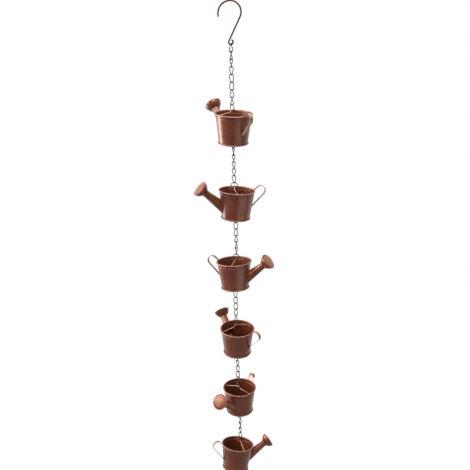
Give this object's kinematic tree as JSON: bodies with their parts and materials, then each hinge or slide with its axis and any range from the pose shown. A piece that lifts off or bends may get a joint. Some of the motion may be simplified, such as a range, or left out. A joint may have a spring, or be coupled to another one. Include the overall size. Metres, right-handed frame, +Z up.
{
  "type": "rain chain",
  "caption": "Hanging rain chain: a wire hook, twisted-link chain runs and small copper-brown watering cans that hang on cross wires one below another.",
  "frame": {"origin": "inside the top of the hook, at the point that hangs on its support", "axes": "+Z up along the chain, +X to the right and -Y to the front as the hook's bowl is seen open"},
  "size_m": [0.1858, 0.1756, 1.2085],
  "materials": {
    "copper_paint": "satin copper-brown paint, a little worn at the edges",
    "bright_copper": "satin, brighter copper colour",
    "dark_bronze": "satin dark brown wire"
  },
  "bodies": {
    "hook": {"hook": "dark_bronze"},
    "chain_1": {"chain_1": "dark_bronze", "ring_1": "bright_copper"},
    "can_1": {"can_1_wall": "copper_paint", "can_1_base": "copper_paint", "can_1_spout": "copper_paint", "can_1_rose": "copper_paint", "can_1_rose_plate": "bright_copper", "can_1_handle": "copper_paint", "can_1_bail": "bright_copper", "can_1_base_pin": "dark_bronze"},
    "chain_2": {"chain_2": "dark_bronze", "ring_2": "bright_copper"},
    "can_2": {"can_2_wall": "copper_paint", "can_2_base": "copper_paint", "can_2_spout": "copper_paint", "can_2_rose": "copper_paint", "can_2_rose_plate": "bright_copper", "can_2_handle": "copper_paint", "can_2_bail": "bright_copper", "can_2_base_pin": "dark_bronze"},
    "chain_3": {"chain_3": "dark_bronze", "ring_3": "bright_copper"},
    "can_3": {"can_3_wall": "copper_paint", "can_3_base": "copper_paint", "can_3_spout": "copper_paint", "can_3_rose": "copper_paint", "can_3_rose_plate": "bright_copper", "can_3_handle": "copper_paint", "can_3_bail": "bright_copper", "can_3_base_pin": "dark_bronze"},
    "chain_4": {"chain_4": "dark_bronze", "ring_4": "bright_copper"},
    "can_4": {"can_4_wall": "copper_paint", "can_4_base": "copper_paint", "can_4_spout": "copper_paint", "can_4_rose": "copper_paint", "can_4_rose_plate": "bright_copper", "can_4_handle": "copper_paint", "can_4_bail": "bright_copper", "can_4_base_pin": "dark_bronze"},
    "chain_5": {"chain_5": "dark_bronze", "ring_5": "bright_copper"},
    "can_5": {"can_5_wall": "copper_paint", "can_5_base": "copper_paint", "can_5_spout": "copper_paint", "can_5_rose": "copper_paint", "can_5_rose_plate": "bright_copper", "can_5_handle": "copper_paint", "can_5_bail": "bright_copper", "can_5_base_pin": "dark_bronze"},
    "chain_6": {"chain_6": "dark_bronze", "ring_6": "bright_copper"},
    "can_6": {"can_6_wall": "copper_paint", "can_6_base": "copper_paint", "can_6_spout": "copper_paint", "can_6_rose": "copper_paint", "can_6_rose_plate": "bright_copper", "can_6_handle": "copper_paint", "can_6_bail": "bright_copper"}
  },
  "joints": [
    {"name": "hook_swing", "type": "hinge", "parent": "hook", "child": "chain_1", "pos_m": [0, 0, -0.08725], "axis": [1, 0, 0], "range_deg": [-30, 30]},
    {"name": "can_1_tilt", "type": "hinge", "parent": "chain_1", "child": "can_1", "pos_m": [0, 0, -0.2273], "axis": [-0.8192, -0.5736, 0], "range_deg": [-30, 30]},
    {"name": "chain_2_swing", "type": "hinge", "parent": "can_1", "child": "chain_2", "pos_m": [0.00097, -0.00138, -0.29882], "axis": [-0.8192, -0.5736, 0], "range_deg": [-20, 20]},
    {"name": "can_2_tilt", "type": "hinge", "parent": "chain_2", "child": "can_2", "pos_m": [0.00097, -0.00138, -0.40702], "axis": [0.309, -0.9511, 0], "range_deg": [-30, 30]},
    {"name": "chain_3_swing", "type": "hinge", "parent": "can_2", "child": "chain_3", "pos_m": [0.00292, -0.00074, -0.47854], "axis": [0.309, -0.9511, 0], "range_deg": [-20, 20]},
    {"name": "can_3_tilt", "type": "hinge", "parent": "chain_3", "child": "can_3", "pos_m": [0.00292, -0.00074, -0.58674], "axis": [0.3658, 0.9287, -0.061], "range_deg": [-30, 30]},
    {"name": "chain_4_swing", "type": "hinge", "parent": "can_3", "child": "chain_4", "pos_m": [-0.00114, -0.00383, -0.6581], "axis": [0.3658, 0.9287, -0.061], "range_deg": [-20, 20]},
    {"name": "can_4_tilt", "type": "hinge", "parent": "chain_4", "child": "can_4", "pos_m": [-0.00114, -0.00383, -0.7663], "axis": [-0.8746, -0.4848, 0], "range_deg": [-30, 30]},
    {"name": "chain_5_swing", "type": "hinge", "parent": "can_4", "child": "chain_5", "pos_m": [0.00068, -0.00713, -0.83774], "axis": [-0.8746, -0.4848, 0], "range_deg": [-20, 20]},
    {"name": "can_5_tilt", "type": "hinge", "parent": "chain_5", "child": "can_5", "pos_m": [0.00068, -0.00713, -0.94594], "axis": [0.848, -0.5299, 0], "range_deg": [-30, 30]},
    {"name": "chain_6_swing", "type": "hinge", "parent": "can_5", "child": "chain_6", "pos_m": [0.00398, -0.00186, -1.01721], "axis": [0.848, -0.5299, 0], "range_deg": [-20, 20]},
    {"name": "can_6_tilt", "type": "hinge", "parent": "chain_6", "child": "can_6", "pos_m": [0.00398, -0.00186, -1.12542], "axis": [-0.3383, 0.9294, -0.1478], "range_deg": [-30, 30]}
  ]
}
